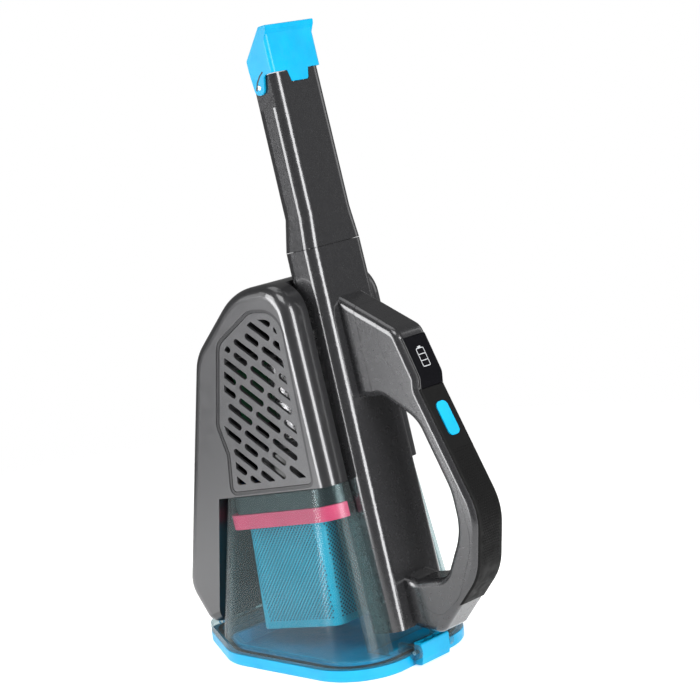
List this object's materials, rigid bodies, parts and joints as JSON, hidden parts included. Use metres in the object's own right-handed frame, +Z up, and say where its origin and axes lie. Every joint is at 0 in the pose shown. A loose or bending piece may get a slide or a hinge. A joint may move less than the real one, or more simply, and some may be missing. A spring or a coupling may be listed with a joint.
{
  "type": "handheld vacuum",
  "caption": "Cordless handheld vacuum with a slim nozzle, flip brush, vented motor housing, loop handle and a clear dust bowl that it stands on.",
  "frame": {"origin": "centre line of the door, on its underside, below the middle of the dust bowl", "axes": "+Z up through the nozzle, +X towards the handle, +Y to the right of somebody who stands at the handle and looks along -X"},
  "size_m": [0.2503, 0.133, 0.4347],
  "materials": {
    "body_grey": "gloss, fine metallic speckle",
    "accent_blue": "satin gloss",
    "bowl_clear": "clear, smoke tinted",
    "soft_black": "matte, dotted",
    "gauge_black": "high gloss",
    "seal_pink": "satin",
    "seal_black": "matte",
    "frame_dark": "matte",
    "screen_blue": "satin",
    "filter_white": "matte",
    "steel": "satin",
    "motor_steel": "satin",
    "fan_plastic": "matte",
    "cell_wrap": "satin",
    "board_green": "satin",
    "switch_black": "matte",
    "bristle_dark": "matte"
  },
  "bodies": {
    "main": {"suction_tube": "body_grey", "motor_housing_left": "body_grey", "motor_housing_right": "body_grey", "vent_grille_left": "body_grey", "vent_grille_right": "body_grey", "housing_screws": "steel", "motor": "motor_steel", "fan_shroud": "frame_dark", "motor_mount": "frame_dark", "battery_cell_1": "cell_wrap", "battery_cell_2": "cell_wrap", "battery_cell_3": "cell_wrap", "battery_holder": "frame_dark", "control_board": "board_green", "charging_socket": "switch_black", "handle_inner_shell": "body_grey", "handle_outer_shell": "body_grey", "grip_overmold": "soft_black", "gauge_window": "gauge_black", "button_switch": "switch_black"},
    "nozzle": {"nozzle": "body_grey", "brush_pivot_pins": "steel"},
    "brush": {"brush_cover": "accent_blue", "brush_bristles": "bristle_dark"},
    "button": {"power_button": "accent_blue"},
    "fan": {"fan": "fan_plastic", "motor_shaft": "steel"},
    "bowl": {"dust_bowl": "bowl_clear", "door_seal": "seal_black", "door_hinge_pin": "steel", "latch_pin": "steel", "filter_ring_seal": "seal_pink", "filter_frame": "frame_dark", "filter_screen": "screen_blue", "pleated_filter": "filter_white"},
    "door": {"door": "accent_blue"},
    "latch": {"door_latch": "accent_blue"},
    "flap": {"inlet_flap": "seal_black"}
  },
  "joints": [
    {"name": "nozzle_extend", "type": "slide", "parent": "main", "child": "nozzle", "axis": [-0.165, 0, 0.9863], "range_m": [0, 0.07]},
    {"name": "brush_flip", "type": "hinge", "parent": "nozzle", "child": "brush", "pos_m": [0.00911, 0, 0.39391], "axis": [0, -1, 0], "range_deg": [0, 110]},
    {"name": "power_press", "type": "slide", "parent": "main", "child": "button", "axis": [-0.8949, 0, -0.4463], "range_m": [0, 0.0015], "stiffness_N_per_m": 800, "springref_m": -0.001},
    {"name": "fan_spin", "type": "hinge", "parent": "main", "child": "fan", "pos_m": [-0.00239, 0, 0.13546], "axis": [-0.165, 0, 0.9863], "continuous": true},
    {"name": "bowl_release", "type": "slide", "parent": "main", "child": "bowl", "axis": [0.165, 0, -0.9863], "range_m": [0, 0.06]},
    {"name": "door_swing", "type": "hinge", "parent": "bowl", "child": "door", "pos_m": [-0.097, 0, 0.0089], "axis": [0, 1, 0], "range_deg": [0, 95]},
    {"name": "latch_rock", "type": "hinge", "parent": "bowl", "child": "latch", "pos_m": [0.0876, 0, 0.011], "axis": [0, -1, 0], "range_deg": [0, 12], "stiffness_Nm_per_rad": 0.5, "springref_deg": -11.46},
    {"name": "inlet_flap_swing", "type": "hinge", "parent": "bowl", "child": "flap", "pos_m": [0.04654, 0, 0.06964], "axis": [0, 1, 0], "range_deg": [0, 20], "stiffness_Nm_per_rad": 0.02, "springref_deg": -11.46}
  ]
}
